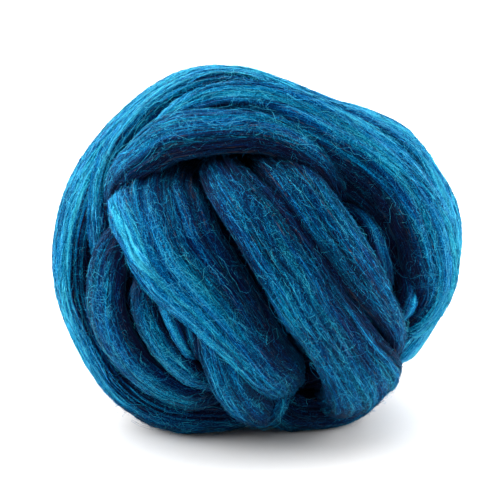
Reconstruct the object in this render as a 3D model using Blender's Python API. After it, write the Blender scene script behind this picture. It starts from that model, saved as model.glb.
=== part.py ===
"""A ball of combed wool roving: one long soft strand, laid round and round itself.

The ball is one closed solid. Its skin is the outermost turn of the strand in every direction,
cut flat where the ball rests. FACE_TURNS are the turns laid across the ball's face one by one,
and BACK_TURNS are the plain rounds behind them.
"""

import math
from collections import namedtuple

import bmesh
import bpy
import numpy as np

MM = 0.001

# The plain ball under the relief of the turns.
BALL_WIDTH = 150 * MM
BALL_DEPTH = 138 * MM
BALL_HEIGHT = 132 * MM
FLAT_SPOT_CUT = 3.5 * MM  # how far the ball's own weight flattens it underneath
FLAT_SPOT_PRESS = (0.86, 0.95)  # how low on a unit ball the gaps start to close, and are shut
CORE_DEPTH = 20 * MM  # the wool seen at the bottom of the deepest gaps

# The winding has a face, which looks up from the horizon by this angle.
FACE_TILT = math.radians(16)

# The strand, and the soft locks that it splits into lengthways.
SHOULDER = 2.3  # 2 rounds the strand's section off as an ellipse, more gives a fuller edge
LOCK_WIDTH = 9 * MM
LOCK_RELIEF = 1.3 * MM
LOCK_DRIFT = 1.4  # how many locks wide the splits wander sideways in one turn

TURN_POINTS = 240
SPHERE_SUBDIVISIONS = 6
SOFTENING_PASSES = 2
KEPT_FACES = 0.5  # the share of the sphere's triangles left once its smooth parts are thinned

WOOL_COLOUR = (0.010, 0.145, 0.330, 1.0)
WOOL_ROUGHNESS = 0.75

# A turn of the strand: its thickness, the height of its left edge over its right one, seen along
# its way, and the places that it passes. Sizes in the tables are in millimetres.
Turn = namedtuple("Turn", "name thick roll way")

# A place on a turn's way: degrees right of the middle of the ball's face, degrees above it, the
# rise of the crest over the plain ball, and the strand's width.
Pass = namedtuple("Pass", "right up rise width")

# A plain round behind the face: where the middle of its circle points, in the same degrees, how
# far the circle lies from the ball's middle, its rise, width and thickness.
Round = namedtuple("Round", "name right up off rise width thick")

FACE_TURNS = (
    Turn("side_ring", 18, 0, (
        Pass(88, -66, -5, 32),
        Pass(88, -34, -3, 32),
        Pass(87, 0, -3, 32),
        Pass(84, 28, -4, 32),
        Pass(78, 54, -9, 30),
        Pass(36, 76, -10, 28),
        Pass(-40, 77, -6, 28),
        Pass(-86, 62, -5, 28),
        Pass(-92, 34, -1, 32),
        Pass(-95, 4, -3, 34),
        Pass(-97, -28, -3, 34),
        Pass(-100, -58, -3, 32),
        Pass(180, -82, -4, 32),
    )),
    Turn("left_rim", 16, 0, (
        Pass(-46, -77, 2, 24),
        Pass(-70, -61, 9, 24),
        Pass(-80, -44, 8, 23),
        Pass(-79, -28, 4, 22),
        Pass(-76, -12, 2, 23),
        Pass(-72, 4, 1, 24),
        Pass(-68, 20, 1, 25),
        Pass(-64, 36, 1, 25),
        Pass(-64, 54, 1, 25),
        Pass(-80, 72, 1, 26),
        Pass(105, 68, -7, 30),
        Pass(105, 30, -3, 34),
        Pass(106, -10, -3, 36),
        Pass(112, -50, -3, 34),
        Pass(-150, -84, -3, 30),
    )),
    Turn("top_ring", 17, 2, (
        Pass(-60, -12, -10, 12),
        Pass(-59, -2, -6, 14),
        Pass(-57, 8, -3, 15),
        Pass(-56, 20, 0, 15),
        Pass(-53, 33, 2, 14),
        Pass(-46, 48, 3, 15),
        Pass(-33, 59, 3, 17),
        Pass(-10, 62, 2, 20),
        Pass(12, 59, -1, 21),
        Pass(30, 51, -3, 22),
        Pass(43, 41, 0, 24),
        Pass(55, 29, 3, 25),
        Pass(64, 17, 1, 25),
        Pass(70, 4, 1, 24),
        Pass(72, -11, -1, 23),
        Pass(69, -24, -1, 22),
        Pass(64, -38, -1, 22),
        Pass(62, -60, -18, 22),
        Pass(-78, -76, -20, 22),
        Pass(-70, -40, -16, 14),
    )),
    Turn("left_loop_outer", 10, 0, (
        Pass(-38, 12, -15, 10),
        Pass(-44, 6, -6, 12),
        Pass(-49, -2, -2, 16),
        Pass(-52, -11, 0, 17),
        Pass(-55, -21, 1, 19),
        Pass(-57, -31, 1, 21),
        Pass(-57, -42, 1, 22),
        Pass(-53, -52, 1, 22),
        Pass(-42, -60, 0, 20),
        Pass(-24, -62, -8, 14),
        Pass(-14, -50, -24, 12),
        Pass(-16, -30, -26, 11),
        Pass(-24, -8, -26, 11),
        Pass(-31, 6, -24, 10),
    )),
    Turn("left_loop_middle", 8, 0, (
        Pass(-34, -2, -12, 7),
        Pass(-38, -10, -6, 9),
        Pass(-39, -16, -3, 10),
        Pass(-39, -23, -2, 11),
        Pass(-38, -31, -2, 12),
        Pass(-35, -40, -2, 13),
        Pass(-29, -50, -3, 13),
        Pass(-18, -56, -8, 12),
        Pass(-14, -44, -24, 10),
        Pass(-18, -24, -26, 9),
        Pass(-26, -7, -24, 8),
    )),
    Turn("left_loop_inner", 6, 0, (
        Pass(-29, -5, -12, 5),
        Pass(-31, -12, -6, 6),
        Pass(-31, -18, -4, 6),
        Pass(-30, -25, -4, 6),
        Pass(-30, -32, -5, 6),
        Pass(-28, -40, -7, 6),
        Pass(-20, -43, -18, 6),
        Pass(-19, -24, -24, 6),
        Pass(-24, -8, -20, 5),
    )),
    Turn("left_loop_last", 6, 0, (
        Pass(-22, -10, -14, 5),
        Pass(-24, -18, -7, 7),
        Pass(-25, -25, -7, 7),
        Pass(-26, -33, -7, 7),
        Pass(-27, -42, -8, 7),
        Pass(-20, -46, -18, 6),
        Pass(-15, -28, -24, 6),
    )),
    Turn("gap_strand_near", 7, 0, (
        Pass(31, 15, -18, 6),
        Pass(35, 11, -11, 7),
        Pass(38, 5, -8, 8),
        Pass(41, -3, -7, 9),
        Pass(45, -10, -8, 8),
        Pass(50, -18, -12, 6),
        Pass(38, -26, -24, 7),
        Pass(22, -4, -26, 7),
    )),
    Turn("gap_strand_far", 8, 0, (
        Pass(50, 2, -20, 7),
        Pass(54, -5, -11, 8),
        Pass(56, -12, -6, 10),
        Pass(56, -19, -4, 10),
        Pass(57, -26, -6, 9),
        Pass(58, -34, -11, 8),
        Pass(40, -34, -24, 8),
        Pass(32, -14, -28, 8),
        Pass(42, 0, -28, 7),
    )),
    Turn("low_loop", 12, 0, (
        Pass(-14, -10, -18, 9),
        Pass(-16, -20, -5, 11),
        Pass(-16, -28, -1, 13),
        Pass(-15, -37, 0, 16),
        Pass(-13, -46, 2, 16),
        Pass(-9, -56, 3, 17),
        Pass(-1, -64, 4, 16),
        Pass(8, -66, 3, 13),
        Pass(13, -58, -4, 10),
        Pass(8, -50, -16, 9),
        Pass(-2, -36, -26, 9),
        Pass(-10, -20, -26, 9),
    )),
    Turn("brow_low", 13, 0, (
        Pass(-58, 5, -11, 7),
        Pass(-52, 12, -3, 9),
        Pass(-48, 18, 1, 12),
        Pass(-44, 22, 3, 15),
        Pass(-38, 26, 4, 17),
        Pass(-34, 31, 4, 19),
        Pass(-24, 33, 5, 19),
        Pass(-12, 34, 5, 17),
        Pass(1, 34, 5, 16),
        Pass(11, 31, 4, 15),
        Pass(20, 26, 1, 14),
        Pass(27, 22, -5, 13),
        Pass(34, 17, -13, 11),
        Pass(42, 10, -21, 10),
        Pass(52, -2, -27, 10),
        Pass(84, -24, -24, 18),
        Pass(125, -24, -24, 20),
        Pass(170, -8, -24, 20),
        Pass(-140, 8, -24, 20),
        Pass(-98, 14, -18, 18),
        Pass(-76, 4, -13, 14),
    )),
    Turn("brow_high", 15, 2, (
        Pass(-48, 32, -9, 8),
        Pass(-39, 36, -1, 11),
        Pass(-29, 40, 3, 14),
        Pass(-16, 44, 5, 17),
        Pass(2, 43, 6, 18),
        Pass(16, 38, 6, 18),
        Pass(27, 31, 6, 16),
        Pass(37, 24, 5, 15),
        Pass(44, 17, 5, 16),
        Pass(51, 8, 4, 18),
        Pass(56, -1, 4, 20),
        Pass(61, -10, 3, 18),
        Pass(63, -19, 1, 14),
        Pass(61, -28, -3, 9),
        Pass(50, -42, -19, 9),
        Pass(30, -66, -27, 14),
        Pass(-150, -66, -24, 20),
        Pass(-130, -24, -24, 20),
        Pass(-108, 14, -20, 18),
        Pass(-76, 30, -11, 14),
    )),
    Turn("brow_bed", 13, 0, (
        Pass(-30, 40, -14, 16),
        Pass(-8, 43, -10, 18),
        Pass(14, 37, -10, 18),
        Pass(27, 29, -10, 18),
        Pass(38, 22, -10, 18),
        Pass(46, 14, -10, 18),
        Pass(52, 5, -10, 18),
        Pass(58, -6, -11, 16),
        Pass(62, -18, -12, 14),
        Pass(64, -34, -14, 14),
        Pass(70, -56, -20, 16),
        Pass(-150, -66, -26, 20),
        Pass(-120, -24, -26, 20),
        Pass(-100, 14, -24, 18),
        Pass(-60, 34, -19, 16),
    )),
    Turn("under_strand", 16, 0, (
        Pass(-30, -64, -12, 16),
        Pass(-4, -71, -6, 18),
        Pass(32, -76, 2, 22),
        Pass(64, -73, 4, 24),
        Pass(82, -64, 6, 26),
        Pass(92, -52, 3, 24),
        Pass(104, -30, -18, 18),
        Pass(150, -10, -26, 20),
        Pass(-150, -20, -26, 20),
        Pass(-90, -48, -24, 18),
        Pass(-54, -58, -18, 16),
    )),
    Turn("front_left", 18, -9, (
        Pass(-38, 34, -13, 24),
        Pass(-37, 26, -6, 30),
        Pass(-35, 16, -2, 34),
        Pass(-30, 7, 0, 35),
        Pass(-26, -2, 1, 35),
        Pass(-20, -10, 1, 33),
        Pass(-14, -17, 0, 29),
        Pass(-9, -24, 0, 26),
        Pass(-3, -33, -1, 22),
        Pass(3, -43, -2, 20),
        Pass(12, -54, -5, 19),
        Pass(36, -72, -8, 22),
        Pass(172, -48, -22, 28),
        Pass(-178, -12, -24, 24),
        Pass(-168, 26, -24, 24),
        Pass(-150, 58, -22, 24),
        Pass(-64, 54, -17, 20),
    )),
    Turn("front_lip", 9, 0, (
        Pass(-50, 19, -9, 9),
        Pass(-46, 14, -1, 12),
        Pass(-40, 7, 2, 14),
        Pass(-36, 2, 2, 14),
        Pass(-33, -3, 3, 12),
        Pass(-30, -7, 2, 10),
        Pass(-26, -11, 1, 8),
        Pass(-23, -15, -1, 6),
        Pass(-20, -20, -3, 4),
        Pass(-16, -26, -7, 4),
        Pass(-12, -32, -14, 5),
        Pass(-14, -10, -22, 6),
        Pass(-34, 14, -18, 7),
    )),
    Turn("front_right", 17, -5, (
        Pass(2, 36, -13, 17),
        Pass(6, 28, -5, 20),
        Pass(12, 19, 0, 22),
        Pass(19, 7, 2, 21),
        Pass(26, -3, 2, 19),
        Pass(33, -11, 2, 17),
        Pass(42, -19, 1, 13),
        Pass(51, -27, 1, 12),
        Pass(59, -36, -1, 12),
        Pass(110, -48, -18, 20),
        Pass(148, -14, -24, 22),
        Pass(152, 24, -24, 22),
        Pass(140, 58, -22, 22),
        Pass(30, 62, -16, 18),
    )),
    Turn("front_mid", 19, -2, (
        Pass(-20, 36, -14, 17),
        Pass(-16, 30, -8, 19),
        Pass(-12, 23, -3, 20),
        Pass(-5, 14, 1, 22),
        Pass(1, 7, 3, 24),
        Pass(6, -1, 4, 25),
        Pass(11, -8, 4, 26),
        Pass(16, -16, 4, 27),
        Pass(23, -24, 4, 27),
        Pass(32, -33, 4, 28),
        Pass(48, -44, 7, 32),
        Pass(63, -54, 5, 30),
        Pass(140, -64, -8, 30),
        Pass(168, -24, -24, 24),
        Pass(178, 14, -24, 24),
        Pass(-170, 52, -22, 24),
        Pass(-56, 62, -17, 20),
    )),
)

BACK_TURNS = (
    Round("back_over", 0, 88, 0.84, -6, 30, 18),
    Round("back_under", 0, -88, 0.80, -5, 32, 18),
    Round("back_slant_1", 90, 40, -0.68, -4, 26, 18),
    Round("back_slant_2", 90, 38, -0.40, -2, 24, 19),
    Round("back_slant_3", 90, 41, -0.10, -4, 24, 18),
    Round("back_slant_4", 90, 39, 0.20, -2, 24, 19),
    Round("back_slant_5", 90, 42, 0.50, -4, 24, 18),
    Round("back_slant_6", 90, 40, 0.78, -5, 25, 18),
    Round("back_cross_low", 90, -44, 0.36, 0, 23, 18),
    Round("back_cross_high", 90, -37, 0.03, 1, 23, 18),
)
BACK_HIDDEN_RISE = -26  # where a plain round runs on under the turns of the face
BACK_STARTS = (-0.05, 0.42)  # how far behind the middle a round is buried and fully out


def face_direction(right, up):
    """The direction, seen in the ball's face, of a place given in degrees."""
    right, up = math.radians(right), math.radians(up)
    return np.array([
        math.sin(right) * math.cos(up),
        -math.cos(right) * math.cos(up),
        math.sin(up),
    ])


def smooth_step(x, low, high):
    t = np.clip((x - low) / (high - low), 0, 1)
    return t * t * (3 - 2 * t)


def closed_curve(knots, count):
    """Points spaced evenly along a closed smooth curve through the knots.

    A knot's first three values are a direction, and the rest are carried along with it. The
    curve is a centripetal Catmull-Rom spline, which doesn't swing out between uneven knots.
    """
    total = len(knots)
    gap = [
        math.sqrt(np.linalg.norm(knots[(i + 1) % total][:3] - knots[i][:3])) for i in range(total)
    ]
    steps = np.linspace(0, 1, 24, endpoint=False)[:, None]
    pieces = []
    for i in range(total):
        a, b, c, d = (knots[(i + k) % total] for k in (-1, 0, 1, 2))
        before, here, after = gap[i - 1], gap[i], gap[(i + 1) % total]
        leave = (b - a) / before - (c - a) / (before + here) + (c - b) / here
        arrive = (c - b) / here - (d - b) / (here + after) + (d - c) / after
        leave, arrive = leave * here, arrive * here
        pieces.append(
            b
            + steps * leave
            + steps**2 * (3 * (c - b) - 2 * leave - arrive)
            + steps**3 * (2 * (b - c) + leave + arrive)
        )
    points = np.concatenate(pieces)
    points[:, :3] /= np.linalg.norm(points[:, :3], axis=1)[:, None]
    ring = np.vstack([points, points[:1]])
    run = np.concatenate([[0], np.cumsum(np.linalg.norm(np.diff(ring[:, :3], axis=0), axis=1))])
    at = np.linspace(0, run[-1], count, endpoint=False)
    even = np.stack([np.interp(at, run, ring[:, k]) for k in range(ring.shape[1])], axis=1)
    even[:, :3] /= np.linalg.norm(even[:, :3], axis=1)[:, None]
    return even


def turn_line(turn):
    """The centreline of a face turn: direction, rise and width at each point."""
    knots = [
        np.array([*face_direction(p.right, p.up), p.rise * MM, p.width * MM]) for p in turn.way
    ]
    return closed_curve(knots, TURN_POINTS)


def round_line(plain):
    """The centreline of a plain round, sunk under the face's turns where it passes the face."""
    pole = face_direction(plain.right, plain.up)
    side = np.cross(pole, [0.0, 0.0, 1.0])
    side /= np.linalg.norm(side)
    rise_way = np.cross(side, pole)
    angle = np.linspace(0, 2 * math.pi, TURN_POINTS, endpoint=False)[:, None]
    ring = np.cos(angle) * side + np.sin(angle) * rise_way
    line = plain.off * pole + math.sqrt(1 - plain.off**2) * ring
    out = smooth_step(line[:, 1], *BACK_STARTS)
    rise = (BACK_HIDDEN_RISE + (plain.rise - BACK_HIDDEN_RISE) * out) * MM
    return np.column_stack([line, rise, np.full(TURN_POINTS, plain.width * MM)])


def ball_radius(directions):
    """The plain ball's radius in each direction of the ball's own axes."""
    half = np.array([BALL_WIDTH, BALL_DEPTH, BALL_HEIGHT]) / 2
    return 1 / np.linalg.norm(directions / half, axis=1)


def lock_relief(across, width, along, seed):
    """How far the surface lies under a lock's crest. across is from -1 to 1, along from 0 to 1."""
    locks = np.maximum(2, np.round(width / LOCK_WIDTH))
    drift = LOCK_DRIFT * np.sin(2 * math.pi * (along + 0.37 * seed)) / 2
    drift += 0.4 * np.sin(2 * math.pi * (3 * along + 0.61 * seed))
    wave = np.abs(np.cos(math.pi * (locks * (across + 1) / 2 + drift + 0.29 * seed)))
    return LOCK_RELIEF * (np.sqrt(wave + 0.02) - 1)


def turn_height(directions, line, thick, roll, seed):
    """Each direction's height on this turn over the plain ball, or minus infinity off it."""
    centre = line[:, :3]
    ahead = np.roll(centre, -1, axis=0) - np.roll(centre, 1, axis=0)
    left = np.cross(centre, ahead)
    left /= np.linalg.norm(left, axis=1)[:, None]
    nearest = np.argmax(directions @ centre.T, axis=1)
    mean_radius = (BALL_WIDTH + BALL_DEPTH + BALL_HEIGHT) / 6
    offset = np.arcsin(np.clip((directions * left[nearest]).sum(1), -1, 1)) * mean_radius
    apart = np.arccos(np.clip((directions * centre[nearest]).sum(1), -1, 1)) * mean_radius
    rise, width = line[nearest, 3], line[nearest, 4]
    across = offset / (width / 2)
    on_it = (np.abs(across) < 1) & (apart < width / 2 + 2 * MM)
    inside = np.where(on_it, np.abs(across), 0)
    crown = thick / 2 * ((1 - inside**SHOULDER) ** (1 / SHOULDER) - 1)
    height = rise + crown + roll / 2 * across
    height += lock_relief(across, width, nearest / TURN_POINTS, seed)
    return np.where(on_it, height, -np.inf)


def wound_height(directions):
    """The height of the outermost wool over the plain ball in each direction of the face."""
    height = np.full(len(directions), -CORE_DEPTH)
    for seed, turn in enumerate(FACE_TURNS):
        layer = turn_height(directions, turn_line(turn), turn.thick * MM, turn.roll * MM, seed)
        height = np.maximum(height, layer)
    for seed, plain in enumerate(BACK_TURNS, len(FACE_TURNS)):
        layer = turn_height(directions, round_line(plain), plain.thick * MM, 0, seed)
        height = np.maximum(height, layer)
    return height


def face_to_ball(directions):
    """Turns directions of the face into the ball's own axes, +Z up."""
    c, s = math.cos(FACE_TILT), math.sin(FACE_TILT)
    x, y, z = directions.T
    return np.stack([x, c * y + s * z, -s * y + c * z], axis=1)


def ball_skin():
    """A finely divided sphere with each corner drawn out to the outermost turn."""
    skin = bmesh.new()
    bmesh.ops.create_icosphere(skin, subdivisions=SPHERE_SUBDIVISIONS, radius=1)
    directions = np.array([v.co for v in skin.verts])
    directions /= np.linalg.norm(directions, axis=1)[:, None]
    own = face_to_ball(directions)
    pressed = smooth_step(-own[:, 2], *FLAT_SPOT_PRESS)
    height = np.maximum(wound_height(directions), -CORE_DEPTH * (1 - pressed))
    points = own * (ball_radius(own) + height)[:, None]
    for corner, point in zip(skin.verts, points):
        corner.co = point
    for _ in range(SOFTENING_PASSES):
        bmesh.ops.smooth_vert(
            skin, verts=skin.verts, factor=0.5, use_axis_x=True, use_axis_y=True, use_axis_z=True
        )
    return skin


def wool_material():
    material = bpy.data.materials.new("combed_wool")
    material.use_nodes = True
    shader = material.node_tree.nodes["Principled BSDF"]
    shader.inputs["Base Color"].default_value = WOOL_COLOUR
    shader.inputs["Roughness"].default_value = WOOL_ROUGHNESS
    return material


def thin_out(obj):
    """Drops triangles where the skin is smooth, for good, so that the flat spot stays one face."""
    thin = obj.modifiers.new("thin", "DECIMATE")
    thin.ratio = KEPT_FACES
    graph = bpy.context.evaluated_depsgraph_get()
    obj.data = bpy.data.meshes.new_from_object(obj.evaluated_get(graph))
    obj.modifiers.clear()


def cut_flat_spot(mesh):
    """Cuts the ball flat underneath and stands it on the ground, with its box on the Z axis."""
    ball = bmesh.new()
    ball.from_mesh(mesh)
    ground = -BALL_HEIGHT / 2 + FLAT_SPOT_CUT
    cut = bmesh.ops.bisect_plane(
        ball,
        geom=ball.verts[:] + ball.edges[:] + ball.faces[:],
        plane_co=(0, 0, ground),
        plane_no=(0, 0, -1),
        clear_outer=True,
    )
    rim = [item for item in cut["geom_cut"] if isinstance(item, bmesh.types.BMEdge)]
    bmesh.ops.triangle_fill(ball, edges=rim, use_dissolve=True, normal=(0, 0, -1))
    corners = np.array([v.co for v in ball.verts])
    middle = (corners.min(axis=0) + corners.max(axis=0)) / 2
    bmesh.ops.translate(ball, verts=ball.verts, vec=(-middle[0], -middle[1], -ground))
    bmesh.ops.recalc_face_normals(ball, faces=ball.faces)
    ball.to_mesh(mesh)
    ball.free()


def main():
    for old in list(bpy.data.objects):
        bpy.data.objects.remove(old)
    mesh = bpy.data.meshes.new("roving_ball")
    skin = ball_skin()
    skin.to_mesh(mesh)
    skin.free()
    ball = bpy.data.objects.new("roving_ball", mesh)
    bpy.context.scene.collection.objects.link(ball)
    thin_out(ball)
    cut_flat_spot(ball.data)
    ball.data.materials.clear()
    ball.data.materials.append(wool_material())
    ball.data.shade_smooth()


main()
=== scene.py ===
"""A ball of combed wool roving, wound from one long soft strand.

Every turn of the strand is a closed tube bent round the ball, split lengthways into soft locks.
Fibres lie along the turns that show, and finer loose ones stand up from them.
"""

import functools
import math
from collections import namedtuple

import bmesh
import bpy
import numpy as np
from bpy.props import FloatProperty, FloatVectorProperty, IntProperty, PointerProperty
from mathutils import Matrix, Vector
from mathutils.bvhtree import BVHTree


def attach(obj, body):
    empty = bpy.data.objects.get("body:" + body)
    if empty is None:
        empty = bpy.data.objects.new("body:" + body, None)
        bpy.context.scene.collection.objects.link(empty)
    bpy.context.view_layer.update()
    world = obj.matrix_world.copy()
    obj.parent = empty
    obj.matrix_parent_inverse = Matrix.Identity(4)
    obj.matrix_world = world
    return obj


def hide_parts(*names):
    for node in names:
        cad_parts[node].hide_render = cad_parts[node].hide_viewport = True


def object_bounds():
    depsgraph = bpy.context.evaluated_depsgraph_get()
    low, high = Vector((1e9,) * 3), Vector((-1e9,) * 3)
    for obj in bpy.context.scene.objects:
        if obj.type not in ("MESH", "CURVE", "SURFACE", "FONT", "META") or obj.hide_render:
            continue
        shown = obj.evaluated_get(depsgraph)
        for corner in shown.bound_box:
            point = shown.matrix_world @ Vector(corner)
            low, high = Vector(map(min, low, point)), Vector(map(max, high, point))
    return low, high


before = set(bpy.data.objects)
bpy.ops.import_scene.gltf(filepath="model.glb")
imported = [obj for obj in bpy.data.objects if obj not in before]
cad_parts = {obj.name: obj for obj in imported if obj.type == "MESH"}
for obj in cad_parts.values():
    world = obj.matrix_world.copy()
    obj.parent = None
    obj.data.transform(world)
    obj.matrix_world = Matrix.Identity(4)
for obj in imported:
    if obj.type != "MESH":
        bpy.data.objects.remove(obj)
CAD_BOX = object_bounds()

bl_info = {
    "name": "Wool Roving Ball",
    "version": (1, 0, 0),
    "blender": (4, 5, 0),
    "location": "3D View > Sidebar > Roving",
    "description": "Winds a ball of combed wool roving from tubes, locks and fibres",
    "category": "Add Mesh",
}

MM = 0.001
NODE = "roving_ball"

# ---------------------------------------------------------------------------------------------
# The winding
# ---------------------------------------------------------------------------------------------

# A turn of the strand: its thickness, the height of its left edge over its right one, seen along
# its way, and the places that it passes. A place is degrees right of the middle of the ball's
# face, degrees above it, the rise of the crest over the plain ball, and the strand's width.
# Sizes in the tables are in millimetres.
Turn = namedtuple("Turn", "name thick roll way")

# A plain round behind the face: where the middle of its circle points, in the same degrees, how
# far the circle lies from the ball's middle, its rise, width and thickness.
Round = namedtuple("Round", "name right up off rise width thick")

SIDE_TURNS = (
    Turn("side_ring", 18, 0, (
        (88, -66, -5, 32), (88, -34, -3, 32), (87, 0, -3, 32), (84, 28, -4, 32), (78, 54, -9, 30),
        (36, 76, -10, 28), (-40, 77, -6, 28), (-86, 62, -5, 28), (-92, 34, -1, 32),
        (-95, 4, -3, 34), (-97, -28, -3, 34), (-100, -58, -3, 32), (180, -82, -4, 32),
    )),
    Turn("left_rim", 16, 0, (
        (-46, -77, 2, 24), (-70, -61, 9, 24), (-80, -44, 8, 23), (-79, -28, 4, 22),
        (-76, -12, 2, 23), (-72, 4, 1, 24), (-68, 20, 1, 25), (-64, 36, 1, 25), (-64, 54, 1, 25),
        (-80, 72, 1, 26), (105, 68, -7, 30), (105, 30, -3, 34), (106, -10, -3, 36),
        (112, -50, -3, 34), (-150, -84, -3, 30),
    )),
    Turn("top_ring", 17, 2, (
        (-60, -12, -10, 12), (-59, -2, -6, 14), (-57, 8, -3, 15), (-56, 20, 0, 15),
        (-53, 33, 2, 14), (-46, 48, 3, 15), (-33, 59, 3, 17), (-10, 62, 2, 20), (12, 59, -1, 21),
        (30, 51, -3, 22), (43, 41, 0, 24), (55, 29, 3, 25), (64, 17, 1, 25), (70, 4, 1, 24),
        (72, -11, -1, 23), (69, -24, -1, 22), (64, -38, -1, 22), (62, -60, -18, 22),
        (-78, -76, -20, 22), (-70, -40, -16, 14),
    )),
)

LOOP_TURNS = (
    Turn("left_loop_outer", 10, 0, (
        (-38, 12, -15, 10), (-44, 6, -6, 12), (-49, -2, -2, 16), (-52, -11, 0, 17),
        (-55, -21, 1, 19), (-57, -31, 1, 21), (-57, -42, 1, 22), (-53, -52, 1, 22),
        (-42, -60, 0, 20), (-24, -62, -8, 14), (-14, -50, -24, 12), (-16, -30, -26, 11),
        (-24, -8, -26, 11), (-31, 6, -24, 10),
    )),
    Turn("left_loop_middle", 8, 0, (
        (-34, -2, -12, 7), (-38, -10, -6, 9), (-39, -16, -3, 10), (-39, -23, -2, 11),
        (-38, -31, -2, 12), (-35, -40, -2, 13), (-29, -50, -3, 13), (-18, -56, -8, 12),
        (-14, -44, -24, 10), (-18, -24, -26, 9), (-26, -7, -24, 8),
    )),
    Turn("left_loop_inner", 6, 0, (
        (-29, -5, -12, 5), (-31, -12, -6, 6), (-31, -18, -4, 6), (-30, -25, -4, 6),
        (-30, -32, -5, 6), (-28, -40, -7, 6), (-20, -43, -18, 6), (-19, -24, -24, 6),
        (-24, -8, -20, 5),
    )),
    Turn("left_loop_last", 6, 0, (
        (-22, -10, -14, 5), (-24, -18, -7, 7), (-25, -25, -7, 7), (-26, -33, -7, 7),
        (-27, -42, -8, 7), (-20, -46, -18, 6), (-15, -28, -24, 6),
    )),
    Turn("gap_strand_near", 7, 0, (
        (31, 15, -18, 6), (35, 11, -11, 7), (38, 5, -8, 8), (41, -3, -7, 9), (45, -10, -8, 8),
        (50, -18, -12, 6), (38, -26, -24, 7), (22, -4, -26, 7),
    )),
    Turn("gap_strand_far", 8, 0, (
        (50, 2, -20, 7), (54, -5, -11, 8), (56, -12, -6, 10), (56, -19, -4, 10), (57, -26, -6, 9),
        (58, -34, -11, 8), (40, -34, -24, 8), (32, -14, -28, 8), (42, 0, -28, 7),
    )),
    Turn("low_loop", 12, 0, (
        (-14, -10, -18, 9), (-16, -20, -5, 11), (-16, -28, -1, 13), (-15, -37, 0, 16),
        (-13, -46, 2, 16), (-9, -56, 3, 17), (-1, -64, 4, 16), (8, -66, 3, 13), (13, -58, -4, 10),
        (8, -50, -16, 9), (-2, -36, -26, 9), (-10, -20, -26, 9),
    )),
)

BROW_TURNS = (
    Turn("brow_low", 13, 0, (
        (-58, 5, -11, 7), (-52, 12, -3, 9), (-48, 18, 1, 12), (-44, 22, 3, 15), (-38, 26, 4, 17),
        (-34, 31, 4, 19), (-24, 33, 5, 19), (-12, 34, 5, 17), (1, 34, 5, 16), (11, 31, 4, 15),
        (20, 26, 1, 14), (27, 22, -5, 13), (34, 17, -13, 11), (42, 10, -21, 10), (52, -2, -27, 10),
        (84, -24, -24, 18), (125, -24, -24, 20), (170, -8, -24, 20), (-140, 8, -24, 20),
        (-98, 14, -18, 18), (-76, 4, -13, 14),
    )),
    Turn("brow_high", 15, 6, (
        (-48, 32, -9, 8), (-39, 36, -1, 11), (-29, 40, 3, 14), (-16, 44, 5, 17), (2, 43, 6, 18),
        (16, 38, 6, 18), (27, 31, 6, 16), (37, 24, 5, 15), (44, 17, 5, 16), (51, 8, 4, 18),
        (56, -1, 4, 20), (61, -10, 3, 18), (63, -19, 1, 14), (61, -28, -3, 9), (50, -42, -19, 9),
        (30, -66, -27, 14), (-150, -66, -24, 20), (-130, -24, -24, 20), (-108, 14, -20, 18),
        (-76, 30, -11, 14),
    )),
)

# Turns that lie beneath the others, and close what would be gaps between them.
UNDER_TURNS = (
    Turn("brow_bed", 13, 0, (
        (-30, 40, -14, 16), (-8, 43, -10, 18), (14, 37, -10, 18), (27, 29, -10, 18),
        (38, 22, -10, 18), (46, 14, -10, 18), (52, 5, -10, 18), (58, -6, -11, 16),
        (62, -18, -12, 14), (64, -34, -14, 14), (70, -56, -20, 16), (-150, -66, -26, 20),
        (-120, -24, -26, 20), (-100, 14, -24, 18), (-60, 34, -19, 16),
    )),
    Turn("under_strand", 16, 0, (
        (-30, -64, -12, 16), (-4, -71, -6, 18), (32, -76, 2, 22), (64, -73, 4, 24),
        (82, -64, 6, 26), (92, -52, 3, 24), (104, -30, -18, 18), (150, -10, -26, 20),
        (-150, -20, -26, 20), (-90, -48, -24, 18), (-54, -58, -18, 16),
    )),
)

FRONT_TURNS = (
    Turn("front_left", 18, -9, (
        (-38, 34, -13, 24), (-37, 26, -6, 30), (-35, 16, -2, 34), (-30, 7, 0, 35),
        (-26, -2, 1, 35), (-20, -10, 1, 33), (-14, -17, 0, 29), (-9, -24, 0, 26),
        (-3, -33, -1, 22), (4, -43, -2, 22), (14, -53, -4, 23), (36, -72, -8, 22),
        (172, -48, -22, 28), (-178, -12, -24, 24), (-168, 26, -24, 24), (-150, 58, -22, 24),
        (-64, 54, -17, 20),
    )),
    Turn("front_lip", 9, 0, (
        (-50, 19, -9, 9), (-46, 14, -1, 12), (-40, 7, 2, 14), (-36, 2, 2, 14), (-33, -3, 3, 12),
        (-30, -7, 2, 10), (-26, -11, 1, 8), (-23, -15, -1, 6), (-20, -20, -3, 4),
        (-16, -26, -7, 4), (-12, -32, -14, 5), (-14, -10, -22, 6), (-34, 14, -18, 7),
    )),
    Turn("front_right", 17, -5, (
        (2, 36, -13, 17), (6, 28, -5, 20), (12, 19, 0, 22), (19, 7, 2, 21), (26, -3, 2, 19),
        (33, -11, 2, 17), (42, -19, 1, 13), (51, -27, 1, 12), (59, -36, -1, 12),
        (110, -48, -18, 20), (148, -14, -24, 22), (152, 24, -24, 22), (140, 58, -22, 22),
        (30, 62, -16, 18),
    )),
    Turn("front_mid", 19, -2, (
        (-20, 36, -14, 17), (-16, 30, -8, 19), (-12, 23, -3, 20), (-5, 14, 1, 22), (1, 7, 3, 24),
        (6, -1, 4, 25), (11, -8, 4, 26), (16, -16, 4, 27), (23, -24, 4, 27), (32, -33, 4, 28),
        (48, -44, 7, 32), (63, -54, 5, 30), (140, -64, -8, 30), (168, -24, -24, 24),
        (178, 14, -24, 24), (-170, 52, -22, 24), (-56, 62, -17, 20),
    )),
)

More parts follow.
